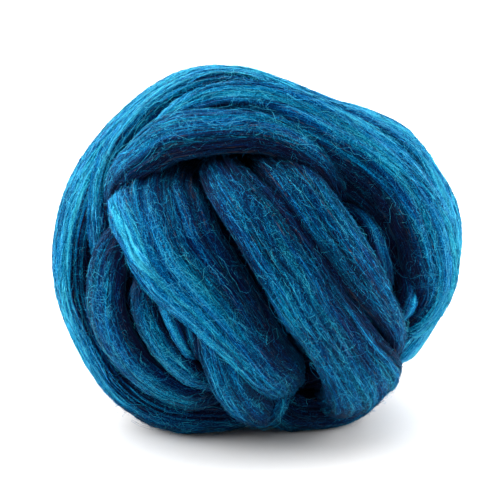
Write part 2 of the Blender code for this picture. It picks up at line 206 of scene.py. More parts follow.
BACK_TURNS = (
    Round("back_over", 0, 88, 0.84, -6, 30, 18),
    Round("back_under", 0, -88, 0.80, -5, 32, 18),
    Round("back_slant_1", 90, 40, -0.68, -4, 26, 18),
    Round("back_slant_2", 90, 38, -0.40, -2, 24, 19),
    Round("back_slant_3", 90, 41, -0.10, -4, 24, 18),
    Round("back_slant_4", 90, 39, 0.20, -2, 24, 19),
    Round("back_slant_5", 90, 42, 0.50, -4, 24, 18),
    Round("back_slant_6", 90, 40, 0.78, -5, 25, 18),
    Round("back_cross_low", 90, -44, 0.36, 0, 23, 18),
    Round("back_cross_high", 90, -37, 0.03, 1, 23, 18),
)
BACK_HIDDEN_RISE = -30  # where a plain round runs on under the turns of the face
BACK_STARTS = (-0.05, 0.42)  # how far behind the middle a round is buried and fully out

# How far the colour of a turn leans to the pale side, and how much more at its left edge. This is
# partly the turn's own dye and partly painted light: the rims and top are painted lighter, the
# turns that lie beneath the others darker as painted shade, and the slope paints one edge of a
# turn lighter and the other darker.
DYE_AND_LIGHT_LEANS = {
    "side_ring": (0.20, 0.0), "left_rim": (0.28, -0.16), "top_ring": (0.26, 0.18),
    "left_loop_outer": (-0.17, 0.0), "left_loop_middle": (-0.06, 0.10),
    "left_loop_inner": (0.20, 0.0), "left_loop_last": (0.05, 0.0),
    "low_loop": (-0.10, -0.10), "gap_strand_near": (0.06, 0.0), "gap_strand_far": (0.08, 0.0),
    "brow_low": (-0.12, 0.16), "brow_high": (0.14, 0.26), "front_left": (-0.10, -0.26),
    "front_lip": (0.24, -0.10), "front_right": (-0.08, 0.12), "front_mid": (-0.18, -0.14),
    "brow_bed": (-0.45, 0.0), "under_strand": (-0.30, 0.0),
}
BACK_SHADE_LEAN = (-0.14, 0.0)  # the same for the other turns, and for all of them at the back: painted shade that darkens the back, where the tent's back wall lights the wool brightly
LEAN_FADES = (0.0, 0.35)  # how far behind the middle a turn's own tone starts and ends to fade into that painted shade
EDGE_SHADE = 0.34  # painted shade: how much darker the edges of a turn's outer side are painted, where it meets its neighbours in a crease
EDGE_SHADE_POWER = 5  # how close to the edges that painted shade stays

PATTERN_REACH = 900  # how far along and across the dye pattern a turn may start, in millimetres

# The net of a turn's skin: a step across it and one along it, in millimetres. The less of a turn
# shows, the longer its steps are.
NET_STEPS = {"face": (0.80, 3.0), "side": (0.95, 3.2), "back": (1.35, 4.6)}
FEWEST_COLUMNS = 32
OUTER_SHARE = 0.76  # of the columns round a section, how many lie on its outer half
PAIRS_A_STEP = 0.62  # of columns, which makes about five in every two steps of the outer half
CURVE_STEPS = 24  # how finely a turn is drawn between two places before its points are spaced
SHOULDER = 2.3  # 2 rounds the strand's section off as an ellipse, more gives a fuller edge
FLAT_SPOT_SOFTNESS = 0.35 * MM  # how gently a turn goes flat where it meets the ground

# How the strand splits lengthways. A merino top shows soft locks some millimetres wide, and
# finer splits within them.
LOCK_SPACING, LOCK_LENGTH, LOCK_DEPTH = 6.6, 80, 2.2
SPLIT_SPACING, SPLIT_LENGTH, SPLIT_DEPTH = 2.2, 38, 0.5
SWELL_SPACING, SWELL_LENGTH, SWELL_DEPTH = 22, 38, 0.7
WEAKEST_LOCK = 0.35  # against the strongest one
LOCK_ROUNDNESS = 0.6  # 1 gives a lock straight flanks, less gives it a broad round back
LOCK_LEVEL = 0.9  # of a lock's depth, how much lies under the plain skin
LOCK_DRIFT = 0.8  # how far a swell pushes the locks aside, against their spacing
NARROW_LOCKS = 0.15  # how deep the locks stay where the strand narrows to nothing
FULL_THICKNESS = 16 * MM  # a thinner strand has shallower locks

# Each step draws its random numbers from a seed of its own.
SEEDS = {"winding": 11, "sky": 3, "core": 5, "laid": 31, "curled": 37, "down": 43, "loose": 41}


def colour(code):
    """A linear colour from an sRGB hex code."""
    values = [int(code[i:i + 2], 16) / 255 for i in (1, 3, 5)]
    return tuple(v / 12.92 if v <= 0.04045 else ((v + 0.055) / 1.055) ** 2.4 for v in values)


def unit(vectors):
    """The vectors' directions, each one long."""
    return vectors / np.linalg.norm(vectors, axis=-1, keepdims=True)


def smooth_step(x, low, high):
    """Rises smoothly from 0 at low to 1 at high."""
    t = np.clip((x - low) / (high - low), 0, 1)
    return t * t * (3 - 2 * t)


def face_direction(right, up):
    """The direction, seen in the ball's face, of a place given in degrees."""
    right, up = math.radians(right), math.radians(up)
    return np.array([
        math.sin(right) * math.cos(up),
        -math.cos(right) * math.cos(up),
        math.sin(up),
    ])


def closed_curve(knots, step):
    """Points spaced evenly, about a step apart, on a closed centripetal Catmull-Rom spline."""
    total = len(knots)
    gap = [
        math.sqrt(np.linalg.norm(knots[(i + 1) % total][:3] - knots[i][:3])) for i in range(total)
    ]
    steps = np.linspace(0, 1, CURVE_STEPS, endpoint=False)[:, None]
    pieces = []
    for i in range(total):
        a, b, c, d = (knots[(i + k) % total] for k in (-1, 0, 1, 2))
        before, here, after = gap[i - 1], gap[i], gap[(i + 1) % total]
        leave = (b - a) / before - (c - a) / (before + here) + (c - b) / here
        arrive = (c - b) / here - (d - b) / (here + after) + (d - c) / after
        leave, arrive = leave * here, arrive * here
        pieces.append(
            b
            + steps * leave
            + steps**2 * (3 * (c - b) - 2 * leave - arrive)
            + steps**3 * (2 * (b - c) + leave + arrive)
        )
    points = np.concatenate(pieces)
    points[:, :3] = unit(points[:, :3])
    ring = np.vstack([points, points[:1]])
    run = np.concatenate([[0], np.cumsum(np.linalg.norm(np.diff(ring[:, :3], axis=0), axis=1))])
    at = np.linspace(0, run[-1], round(run[-1] / step), endpoint=False)
    even = np.stack([np.interp(at, run, ring[:, k]) for k in range(ring.shape[1])], axis=1)
    even[:, :3] = unit(even[:, :3])
    return even


def turn_line(turn, step, radius):
    """A face turn's centreline: direction, rise and width at points a step apart."""
    knots = [
        np.array([*face_direction(right, up), rise * MM, width * MM])
        for right, up, rise, width in turn.way
    ]
    return closed_curve(knots, step / radius)


def round_line(plain, step, radius):
    """A plain round's centreline, sunk under the face's turns where it passes the face."""
    pole = face_direction(plain.right, plain.up)
    side = unit(np.cross(pole, [0.0, 0.0, 1.0]))
    rise_way = np.cross(side, pole)
    reach = math.sqrt(1 - plain.off**2)
    count = round(2 * math.pi * reach * radius / step)
    angle = np.linspace(0, 2 * math.pi, count, endpoint=False)[:, None]
    line = plain.off * pole + reach * (np.cos(angle) * side + np.sin(angle) * rise_way)
    out = smooth_step(line[:, 1], *BACK_STARTS)
    rise = (BACK_HIDDEN_RISE + (plain.rise - BACK_HIDDEN_RISE) * out) * MM
    return np.column_stack([line, rise, np.full(count, plain.width * MM)])


def on_net(values, row, column, smooth=False):
    """Values of a closed net at places between its points."""
    rows, columns = values.shape[:2]
    i, j = np.floor(row).astype(int), np.floor(column).astype(int)
    a, b = row - i, column - j
    if smooth:
        a, b = smooth_step(a, 0, 1), smooth_step(b, 0, 1)
    a, b = (part.reshape(part.shape + (1,) * (values.ndim - 2)) for part in (a, b))
    i, j = i % rows, j % columns
    i_next, j_next = (i + 1) % rows, (j + 1) % columns
    low = values[i, j] * (1 - b) + values[i, j_next] * b
    high = values[i_next, j] * (1 - b) + values[i_next, j_next] * b
    return low * (1 - a) + high * a


def soft_noise(rng, at_row, at_column, rows, columns, alternate=False):
    """Smooth noise from -1 to 1 over a net of cells that closes on itself both ways.

    With alternate, neighbouring columns have opposite signs, which gives one crease between each
    two of them.
    """
    net = rng.uniform(WEAKEST_LOCK, 1, (rows, columns))
    if alternate:
        net[:, 1::2] *= -1
    else:
        net *= rng.choice([-1, 1], (rows, columns))
    return on_net(net, at_row, at_column, smooth=True)


# A turn's skin as a net of points, closed both ways: rows along it and columns round it, with
# its length and the girth that its columns stand for in millimetres, the place on the dye
# pattern at which it starts, and how far its colour leans to the pale side at each point, from
# its own dye and from painted light and painted shade.
Skin = namedtuple("Skin", "name points normals length girth origin lean")

# The plain ball's sizes in metres, and how far its face is tilted up.
Sizes = namedtuple("Sizes", "width depth height flat_cut tilt")


def face_to_ball(directions, tilt):
    """Turns directions of the face into the ball's own axes, +Z up."""
    c, s = math.cos(tilt), math.sin(tilt)
    x, y, z = np.moveaxis(directions, -1, 0)
    return np.stack([x, c * y + s * z, -s * y + c * z], axis=-1)


def mean_radius(sizes):
    """The radius at which a turn's width and length are laid out."""
    return (sizes.width + sizes.depth + sizes.height) / 6


def ball_radius(directions, sizes):
    """The plain ball's radius in each direction of the ball's own axes."""
    half = np.array([sizes.width, sizes.depth, sizes.height]) / 2
    return 1 / np.linalg.norm(directions / half, axis=-1)


def net_normals(points):
    """The way out of a closed net at each of its points."""
    along = np.roll(points, -1, axis=0) - np.roll(points, 1, axis=0)
    around = np.roll(points, -1, axis=1) - np.roll(points, 1, axis=1)
    return unit(np.cross(around, along))


def lock_relief(rng, rows, columns, length, girth):
    """How far the locks and splits lift or sink each point of a turn's skin, in metres."""
    row, column = np.meshgrid(np.arange(rows) / rows, np.arange(columns) / columns, indexing="ij")
    relief = np.zeros((rows, columns))
    drift = 0.0
    for spacing, reach, depth, alternate in (
        (SWELL_SPACING, SWELL_LENGTH, SWELL_DEPTH, False),
        (LOCK_SPACING, LOCK_LENGTH, LOCK_DEPTH, True),
        (SPLIT_SPACING, SPLIT_LENGTH, SPLIT_DEPTH, True),
    ):
        cells = 2 * max(1, round(girth / spacing / 2))
        spans = max(2, round(length / reach))
        noise = soft_noise(rng, row * spans, (column + drift) * cells, spans, cells, alternate)
        if alternate:
            relief += depth * MM * (np.abs(noise) ** LOCK_ROUNDNESS - LOCK_LEVEL)
        else:
            relief += depth * MM * noise
            drift = noise * LOCK_DRIFT / cells
    return relief


def wind(name, line, thick, roll, step, sizes, rng):
    """One turn: the strand's section carried along its line and bent round the ball."""
    widest = line[:, 4].max()
    girth = math.pi * (widest + thick) / 2
    columns = max(FEWEST_COLUMNS, round(girth / step / OUTER_SHARE * PAIRS_A_STEP) * 2)
    centre = line[:, :3]
    left = unit(np.cross(centre, np.roll(centre, -1, axis=0) - np.roll(centre, 1, axis=0)))
    share = np.arange(columns) / columns
    outer = share / OUTER_SHARE
    inner = 1 + (share - OUTER_SHARE) / (1 - OUTER_SHARE)
    angle = math.pi * np.where(share < OUTER_SHARE, outer, inner)
    bulge = 2 / SHOULDER
    across = np.sign(np.cos(angle)) * np.abs(np.cos(angle)) ** bulge
    up = np.sign(np.sin(angle)) * np.abs(np.sin(angle)) ** bulge
    swing = (across[None] * line[:, 4:5] / 2 / mean_radius(sizes))[..., None]
    direction = np.cos(swing) * centre[:, None] + np.sin(swing) * left[:, None]
    height = line[:, 3:4] + (thick * (up - 1) + roll * across)[None] / 2
    own = face_to_ball(direction, sizes.tilt)
    points = own * (ball_radius(own, sizes) + height)[..., None]
    length = np.linalg.norm(np.diff(points[:, 0], axis=0), axis=1).sum()
    relief = lock_relief(rng, len(line), columns, length / MM, girth / MM)
    room = np.minimum(1, line[:, 4:5] / widest + NARROW_LOCKS) * min(1, thick / FULL_THICKNESS)
    points += net_normals(points) * (relief * room)[..., None]
    lean, slope = DYE_AND_LIGHT_LEANS.get(name, BACK_SHADE_LEAN)
    behind = smooth_step(centre[:, 1:2], *LEAN_FADES)
    # Painted light and shade: the slope paints one edge lighter and the other darker, and behind
    # the middle the tone fades to the painted shade of the back.
    tone = lean + slope * across + (BACK_SHADE_LEAN[0] - lean) * behind
    # Painted shade at the edges, where the turn meets its neighbours in a crease.
    tone = tone - EDGE_SHADE * np.abs(across) ** EDGE_SHADE_POWER
    origin = rng.uniform(0, PATTERN_REACH, 2)
    return Skin(name, points, None, length / MM, girth / MM, origin, tone)


def step_key(turn):
    """Which steps a turn's net has: the less of a turn shows, the longer they are."""
    return "side" if turn in SIDE_TURNS else "back" if turn in UNDER_TURNS else "face"


@functools.cache
def wound_ball(sizes):
    """Every turn's skin, set on the ground and round the Z axis, and the shift that this took."""
    radius = mean_radius(sizes)
    rng = np.random.default_rng(SEEDS["winding"])
    skins = []
    for turn in SIDE_TURNS + LOOP_TURNS + BROW_TURNS + FRONT_TURNS + UNDER_TURNS:
        across, along = NET_STEPS[step_key(turn)]
        line = turn_line(turn, along * MM, radius)
        thick, roll = turn.thick * MM, turn.roll * MM
        skins.append(wind(turn.name, line, thick, roll, across * MM, sizes, rng))
    across, along = NET_STEPS["back"]
    for plain in BACK_TURNS:
        line = round_line(plain, along * MM, radius)
        skins.append(wind(plain.name, line, plain.thick * MM, 0, across * MM, sizes, rng))
    every = np.concatenate([skin.points.reshape(-1, 3) for skin in skins])
    middle = (every.min(axis=0) + every.max(axis=0)) / 2
    ground = -sizes.height / 2 + sizes.flat_cut
    origin = np.array([middle[0], middle[1], ground])
    placed = {}
    for skin in skins:
        points = skin.points - origin
        z = points[..., 2]
        points[..., 2] = (z + np.sqrt(z**2 + 4 * FLAT_SPOT_SOFTNESS**2)) / 2
        placed[skin.name] = skin._replace(points=points, normals=net_normals(points))
    return placed, -origin


# ---------------------------------------------------------------------------------------------
# Meshes
# ---------------------------------------------------------------------------------------------

STRAND_MAP = "strand_mm"  # across and along the fibres, in millimetres, for the dye pattern
TONE = "tone"  # how far the colour at a point is paler than the pattern there, or darker: the turn's own dye, with painted light and painted shade
BAKE_MAP = "OFBake"  # every face laid flat on its own, for whoever bakes the pattern
BAKE_GAP = 0.12  # the part of a fibre's place on that map that stays empty
BAKE_EDGE = 0.02  # the part of a turn's place that stays empty on each side
BAKE_ROWS = 10  # rows of fibres for each column of them
HAIR_CAP = 0.004  # how long the place of a hair's end is, against the hair's
LOWEST = 0.03 * MM  # no fibre goes into what the ball stands on

CREASE_SHADE = 0.9  # how much darker the colour is painted where a point sees no sky: painted shade in creases, gaps and under other turns
DARKEST_SHADE = -0.56  # the tone at which that painted shade stops growing darker
SKY_RAYS = 10  # looks that each point takes at the sky
SKY_REACH = 18 * MM  # how near wool must be to count as over a point
SKY_START = 0.4 * MM  # how far over its point a look starts
SKY_OUTWARD = 0.4  # how far the first look leans from the skin's way out to the ball's
OPEN_REACH = 40 * MM  # how far that look has to be free, or the point is taken as buried
INWARD = -0.1  # a point that faces this far into the ball is buried too
NEAR_ROWS, NEAR_COLUMNS = (-1, 0, 1), (-2, -1, 0, 1, 2)  # the points that share what they see


def net_faces(rows, columns):
    """Quads over a net closed both ways, with the row and column of each of their corners."""
    i, j = np.meshgrid(np.arange(rows), np.arange(columns), indexing="ij")
    i, j = i.ravel(), j.ravel()
    row = np.stack([i, i, i + 1, i + 1], axis=1)
    column = np.stack([j, j + 1, j + 1, j], axis=1)
    return (row % rows) * columns + column % columns, row, column


def end_to_end(arrays):
    """All the numbers of some arrays in one row."""
    return np.concatenate([array.ravel() for array in arrays])


def add_piece(name, points, tone, faces, maps, material):
    """Makes an object from points, their tone, groups of faces and UV maps, and ties it on."""
    points[:, 2] = np.maximum(points[:, 2], LOWEST)
    mesh = bpy.data.meshes.new(name)
    corners = end_to_end(faces).astype(np.int32)
    counts = np.concatenate([np.full(len(group), group.shape[1]) for group in faces])
    starts = np.concatenate([[0], np.cumsum(counts)[:-1]]).astype(np.int32)
    mesh.vertices.add(len(points))
    mesh.vertices.foreach_set("co", points.astype(np.float32).ravel())
    mesh.loops.add(len(corners))
    mesh.loops.foreach_set("vertex_index", corners)
    mesh.polygons.add(len(starts))
    mesh.polygons.foreach_set("loop_start", starts)
    for title, places in maps.items():
        layer = mesh.uv_layers.new(name=title)
        layer.uv.foreach_set("vector", end_to_end(places).astype(np.float32))
    shade = mesh.attributes.new(TONE, "FLOAT", "POINT")
    shade.data.foreach_set("value", np.broadcast_to(tone, len(points)).astype(np.float32))
    mesh.update(calc_edges=True)
    mesh.validate()
    mesh.shade_smooth()
    mesh.materials.append(material)
    piece = bpy.data.objects.new(name, mesh)
    bpy.context.scene.collection.objects.link(piece)
    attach(piece, "root")
    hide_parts(NODE)


def strand_place(skin, row, column):
    """The place on the dye pattern, in millimetres, of a place on a turn's net."""
    rows, columns = skin.points.shape[:2]
    return np.stack([
        column / columns * skin.girth + skin.origin[0], row / rows * skin.length + skin.origin[1]
    ], axis=-1)


def net_tone(skin, sky):
    """The tone at each point of a turn's net: the turn's own lean, and painted shade that grows
    darker the less sky the point sees, as under other turns.

    Sky is how much open sky each point sees, from 0 to 1.
    """
    return np.maximum(skin.lean - CREASE_SHADE * (1 - sky), DARKEST_SHADE)


def joined_nets(skins):
    """The points of some skins in one row, with each one's quads and their rows and columns."""
    quads, first = [], 0
    for skin in skins:
        faces, row, column = net_faces(*skin.points.shape[:2])
        quads.append((faces + first, row, column))
        first += skin.points[..., 0].size
    return np.concatenate([skin.points.reshape(-1, 3) for skin in skins]), quads


def add_turns(name, skins, sky, material):
    """Joins the skins of some turns into one piece."""
    points, quads = joined_nets(skins)
    strand, flat = [], []
    for place, (skin, (_, row, column)) in enumerate(zip(skins, quads)):
        rows, columns = skin.points.shape[:2]
        strand.append(strand_place(skin, row, column))
        across = BAKE_EDGE + (1 - 2 * BAKE_EDGE) * column / columns
        flat.append(np.stack([row / rows, (place + across) / len(skins)], axis=-1))
    # The tone paints light and shade into the turns' colour.
    tone = end_to_end([net_tone(skin, sky[skin.name]) for skin in skins])
    maps = {STRAND_MAP: strand, BAKE_MAP: flat}
    add_piece(name, points, tone, [faces for faces, *_ in quads], maps, material)


def is_open(tree, start, way):
    """Whether neither a turn nor the ground stands close in the way."""
    way = way.normalized()
    above = start.z + SKY_REACH * way.z > 0
    return above and tree.ray_cast(start, way, SKY_REACH)[0] is None


@functools.cache
def sky_over(sizes):
    """For each point of each skin, how much open sky it sees past the turns, from 0 to 1."""
    skins, _ = wound_ball(sizes)
    points, quads = joined_nets(skins.values())
    tree = BVHTree.FromPolygons(
        points.tolist(), np.concatenate([faces for faces, *_ in quads]).tolist()
    )
    middle = np.array([0, 0, sizes.height / 2 - sizes.flat_cut])
    spread = unit(np.random.default_rng(SEEDS["sky"]).normal(size=(SKY_RAYS, 3)))
    sky = {}
    for name, skin in skins.items():
        outward = unit(skin.points - middle)
        ways = unit((1 - SKY_OUTWARD) * skin.normals + SKY_OUTWARD * outward)
        starts = skin.points + SKY_START * skin.normals
        facing = (skin.normals * outward).sum(-1) > INWARD
        share = np.zeros(facing.shape)
        for i, j in np.argwhere(facing):
            start = Vector(starts[i, j])
            if tree.ray_cast(start, Vector(ways[i, j]), OPEN_REACH)[0] is None:
                looks = (Vector(skin.normals[i, j] + way) for way in spread)
                free = sum(is_open(tree, start, look) for look in looks)
                share[i, j] = max(free, 1) / SKY_RAYS
        near = [np.roll(share, (i, j), (0, 1)) for i in NEAR_ROWS for j in NEAR_COLUMNS]
        count = sum(seen > 0 for seen in near)
        sky[name] = np.where(share > 0, sum(near) / np.maximum(count, 1), 0)
    return sky


def shown_cells(skin, sky):
    """The area of each cell of a skin's net, nought where it is buried, and its width."""
    points = skin.points
    along = np.linalg.norm(np.roll(points, -1, axis=0) - points, axis=-1)
    around = np.linalg.norm(np.roll(points, -1, axis=1) - points, axis=-1)
    return along * around * (sky > 0), around


def roots(skin, sky, count, rng):
    """Random places on the part of a skin that shows, even by area: row, column, cell width."""
    area, around = (values.ravel() for values in shown_cells(skin, sky))
    cell = rng.choice(area.size, size=count, p=area / area.sum())
    row, column = np.divmod(cell, skin.points.shape[1])
    places = row + rng.random(count), column + rng.random(count), around[cell] / MM
    return [place[:, None] for place in places]


# Fibre tracks: centre points with the skin's normal under them, width and roll of each fibre.
# Strand is the place on the dye pattern, and tone as for the turns.
Tracks = namedtuple("Tracks", "points normals width roll strand tone")

# Fibres combed along a turn, in millimetres and radians. A merino fibre is 0.02 mm thick, which
# is too fine to show, so all fibres are drawn as thick as they need to be to show.
LAID_LENGTHS, LAID_WIDTHS, LAID_LIFTS = (18, 60), (0.14, 0.36), (0.08, 0.45)
LAID_SLOPE = 0.09  # how far most of them stray from the turn's way
STRAYS, STRAY_SLOPE = 0.3, 0.3  # the share that strays further, and how far
LAID_BEND, LAID_WAVES = 0.35, (24, 50)  # how far they weave, and over what length
TUCK, TUCK_DEPTH = 0.12, 0.4  # the share of a fibre that dips in at each end, and how deep
TIP_WIDTH = 0.45  # how wide the ends are, against the middle
LAID_ROLL = 0.45  # how far they roll on their sides
LAID_TURN_SHARE, LAID_TONE = 0.8, (0.02, 0.11)  # how much of the turn's tone they have, with its painted light and shade, and their own
ANY_PHASE = (0, 7)

# Fibres that have worked loose, in the same units.
HEADING, CURL = 0.55, 1.6  # how far one sets out from the turn's way, and how far it then bends
CRIMP, CRIMP_WAVES = 0.9, (0.8, 2.0)  # how far it winds on its way, and how many times
LOOSE_LENGTHS, LOOSE_WIDTHS = (0.5, 1.6), (0.7, 1.2)  # least and most, against its kind
LOOSE_HEIGHTS = (2.0, 0.5)  # a gamma distribution round its kind's height, with a few high ones
STANDING = 0.3  # the share that stands away with its tip
ROOT_LIFT, ROOT_DEPTH, ROOT_POWER = 0.3, 0.5, 4  # how it comes up: height, depth and suddenness
LOOSE_ROLL = 0.4
# how much of the turn's tone loose fibres have, with its painted light and shade, and their own
LOOSE_TURN_SHARE, LOOSE_TONE = 0.6, (0.30, 0.15)
HAIR_TAPER = ([0, 0.15, 0.8, 1], [1, 1, 0.8, 0.25])  # places along a hair, and its width there


def track_on(skin, sky, root, ahead, sideways, lift, width, roll, tone, dye):
    """Tracks from their roots over a skin, so many millimetres ahead, sideways and up."""
    row, column, cell = root
    rows = row + ahead / (skin.length / len(skin.points))
    columns = column + sideways / cell
    normals = unit(on_net(skin.normals, rows, columns))
    points = on_net(skin.points, rows, columns) + normals * (MM * lift)[..., None]
    # The fibre takes a share of the turn's tone under it, with its painted light and painted
    # shade.
    tone = dye * on_net(net_tone(skin, sky), rows, columns) + tone
    return Tracks(points, normals, width * MM, roll, strand_place(skin, rows, columns), tone)


def laid_tracks(skin, sky, count, knots, rng):
    """Fibres combed along a turn, each a little off its way, with both ends tucked in."""
    root = roots(skin, sky, count, rng)
    length = rng.uniform(*LAID_LENGTHS, (count, 1))
    t = np.linspace(-0.5, 0.5, knots)[None]
    ahead = t * length
    strays = rng.random((count, 1)) < STRAYS
    far, near = (rng.normal(0, slope, (count, 1)) for slope in (STRAY_SLOPE, LAID_SLOPE))
    bend = rng.normal(0, LAID_BEND, (count, 1))
    wave = rng.uniform(*LAID_WAVES, (count, 1))
    sway = bend * np.sin(2 * math.pi * ahead / wave + rng.uniform(*ANY_PHASE, (count, 1)))
    over = np.minimum(1, (0.5 - np.abs(t)) / TUCK)
    lift = (rng.uniform(*LAID_LIFTS, (count, 1)) + TUCK_DEPTH) * over - TUCK_DEPTH
    width = rng.uniform(*LAID_WIDTHS, (count, 1)) * (TIP_WIDTH + (1 - TIP_WIDTH) * over)
    tone = rng.normal(*LAID_TONE, (count, 1))
    roll = rng.normal(0, LAID_ROLL, (count, 1))
    sideways = np.where(strays, far, near) * ahead + sway
    return track_on(skin, sky, root, ahead, sideways, lift, width, roll, tone, LAID_TURN_SHARE)


def loose_tracks(skin, sky, count, knots, rng, length, height, width):
    """Fibres that have worked loose: curls that leave the turn and fall back, or stand away."""
    root = roots(skin, sky, count, rng)
    length = length * rng.uniform(*LOOSE_LENGTHS, (count, 1))
    t = np.linspace(0, 1, knots)[None]
    way = rng.normal(0, HEADING, (count, 1))
    way = way + np.where(rng.random((count, 1)) < 0.5, 0, math.pi)
    curl, crimp = (rng.normal(0, bend, (count, 1)) for bend in (CURL, CRIMP))
    waves = t * rng.uniform(*CRIMP_WAVES, (count, 1)) + rng.random((count, 1))
    way = way + (curl * t + crimp * np.sin(2 * math.pi * waves))
    pace = length / (knots - 1)
    ahead, sideways = (np.cumsum(turn(way) * pace, axis=1) for turn in (np.cos, np.sin))
    top = height * rng.gamma(*LOOSE_HEIGHTS, (count, 1))
    stands = rng.random((count, 1)) < STANDING
    lift = np.where(stands, top * t, top * np.sin(math.pi * t))
    lift = lift + ROOT_LIFT - ROOT_DEPTH * (1 - t) ** ROOT_POWER
    width = width * np.ones((count, knots)) * rng.uniform(*LOOSE_WIDTHS, (count, 1))
    tone = rng.normal(*LOOSE_TONE, (count, 1))
    roll = rng.normal(0, LOOSE_ROLL, (count, 1))
    return track_on(skin, sky, root, ahead, sideways, lift, width, roll, tone, LOOSE_TURN_SHARE)


def beside(tracks):
    """For each point of each track, the two ways square to it: along the skin, and out of it."""
    along = unit(np.gradient(tracks.points, axis=1))
    side = unit(np.cross(tracks.normals, along))
    out = np.cross(along, side)
    c, s = np.cos(tracks.roll)[..., None], np.sin(tracks.roll)[..., None]
    return c * side + s * out, c * out - s * side


def cell_map(count, across, along):
    """Gives each fibre a long narrow place of its own on the bake map."""
    columns = max(1, round(math.sqrt(count / BAKE_ROWS)))
    rows = math.ceil(count / columns)
    which = np.arange(count).reshape(-1, *[1] * (across.ndim - 1))
    u = (which % columns + BAKE_GAP / 2 + (1 - BAKE_GAP) * along) / columns
    v = (which // columns + BAKE_GAP / 2 + (1 - BAKE_GAP) * across) / rows
    return np.stack(np.broadcast_arrays(u, v), axis=-1)


def merged(groups):
    """One set of tracks from several."""
    return Tracks(*(np.concatenate(values) for values in zip(*groups)))


def add_ribbons(name, tracks, material):
    """Lays each track as a narrow flat ribbon."""
    count, knots = tracks.points.shape[:2]
    side, _ = beside(tracks)
    half = side * (tracks.width / 2)[..., None]
    points = np.stack([tracks.points - half, tracks.points + half], axis=2).reshape(-1, 3)
    base = np.arange(count)[:, None, None] * knots * 2
    knot = np.arange(knots - 1)[None, :, None] + np.array([0, 1, 1, 0])
    edge = np.array([0, 0, 1, 1])[None, None]
    quads = (base + knot * 2 + edge).reshape(-1, 4)
    maps = {
        STRAND_MAP: [tracks.strand[:, knot[0]]],
        BAKE_MAP: [cell_map(count, edge, knot / (knots - 1))],
    }
    add_piece(name, points, np.repeat(tracks.tone.ravel(), 2), [quads], maps, material)


def add_hairs(name, tracks, material):
    """Lays each track as a thin three-sided hair, closed at both ends."""
    count, knots = tracks.points.shape[:2]
    side, out = beside(tracks)
    taper = np.interp(np.linspace(0, 1, knots), *HAIR_TAPER)[None]
    radius = (tracks.width / 2 * taper)[..., None]
    ring = [
        tracks.points + radius * (math.cos(a) * side + math.sin(a) * out)
        for a in (math.pi / 2, math.pi * 7 / 6, math.pi * 11 / 6)
    ]
    points = np.stack(ring, axis=2).reshape(-1, 3)
    base = np.arange(count)[:, None, None, None] * knots * 3
    knot = np.arange(knots - 1)[None, :, None, None] + np.array([0, 0, 1, 1])
    edge = np.arange(3)[None, None, :, None] + np.array([0, 1, 1, 0])
    quads = (base + knot * 3 + edge % 3).reshape(-1, 4)
    start = np.arange(count)[:, None] * knots * 3
    caps = np.concatenate([start + [0, 2, 1], start + (knots - 1) * 3 + [0, 1, 2]])
    ends = np.repeat(tracks.strand[:, 0], 3, axis=0)
    corners = np.array([[0.0, 0.5, 1.0]])
    maps = {
        STRAND_MAP: [np.repeat(tracks.strand[:, knot[0]], 3, axis=2), ends, ends],
        BAKE_MAP: [
            cell_map(count, edge / 3, knot / (knots - 1)),
            cell_map(count, corners, np.array([[0.0, HAIR_CAP, 0.0]])),
            cell_map(count, corners, np.array([[1.0, 1 - HAIR_CAP, 1.0]])),
        ],
    }
    tone = np.repeat(tracks.tone.ravel(), 3)
    add_piece(name, points, tone, [quads, caps], maps, material)


# ---------------------------------------------------------------------------------------------
# Materials
# ---------------------------------------------------------------------------------------------

# The patterns along the strand: how wide and how long their streaks are, in millimetres, and the
# detail and roughness of their noise. A merino fibre is 0.02 mm thick, which is too fine to show,
# so the finest streaks are drawn as wide as small bundles of fibres.
STREAKS = {
    "fibres": (0.40, 24, 3.0, 0.6),
    "bundles": (1.6, 36, 2.0, 0.5),
    "locks": (LOCK_SPACING * 1.2, LOCK_LENGTH * 0.6, 1.0, 0.5),
    "undyed": (0.40, 33.6, 1.0, 0.5),
    "bath": (LOCK_SPACING * 0.6, LOCK_LENGTH * 0.4, 2.0, 0.5),
}
PATCH_SIZE = 40  # how wide a patch is in which one dye leads, in millimetres
FUZZ_SIZE = 0.45  # how wide the tufts of crossing fibres are, in millimetres
PATTERN_SHARES = (0.4, 0.35, 0.45, 0.5, 1.2)  # of fibres, bundles, locks, patches and tufts
UNDYED_FROM, UNDYED_TO, UNDYED_SHARE = 0.70, 0.80, 0.35  # where undyed fibres show, how much
BATH_DRIFT = 0.015  # how far the dyes of a lock drift to green or violet, in turns of hue
# Where on the blend each dye leads.
DYE_STOPS = (
    (0.0, "plum"), (0.17, "navy"), (0.36, "petrol"), (0.52, "azure"), (0.70, "cyan"),
    (0.94, "pale"),
)
NOISE_SPAN = 0.3, 0.7  # between what values a noise mostly lies
BUMP_DEPTH = 0.25  # how deep the finest streaks are, in millimetres
PAPER_WHITE, PAPER_CLOUD = 0.76, 0.01  # how bright the paper is, and how far that varies
PAPER_GRAIN = 3  # how wide the clouds in it are, in millimetres


def add_node(tree, kind, inputs=None, **settings):
    """Adds a node with its settings, and sets or links its inputs."""
    node = tree.nodes.new(kind)
    for key, value in settings.items():
        setattr(node, key, value)
    for key, value in (inputs or {}).items():
        if isinstance(value, bpy.types.NodeSocket):
            tree.links.new(value, node.inputs[key])
        else:
            node.inputs[key].default_value = value
    return node


def new_material(name):
    """A material with its node tree and its shader."""
    material = bpy.data.materials.new(name)
    material.use_nodes = True
    return material, material.node_tree, material.node_tree.nodes["Principled BSDF"]


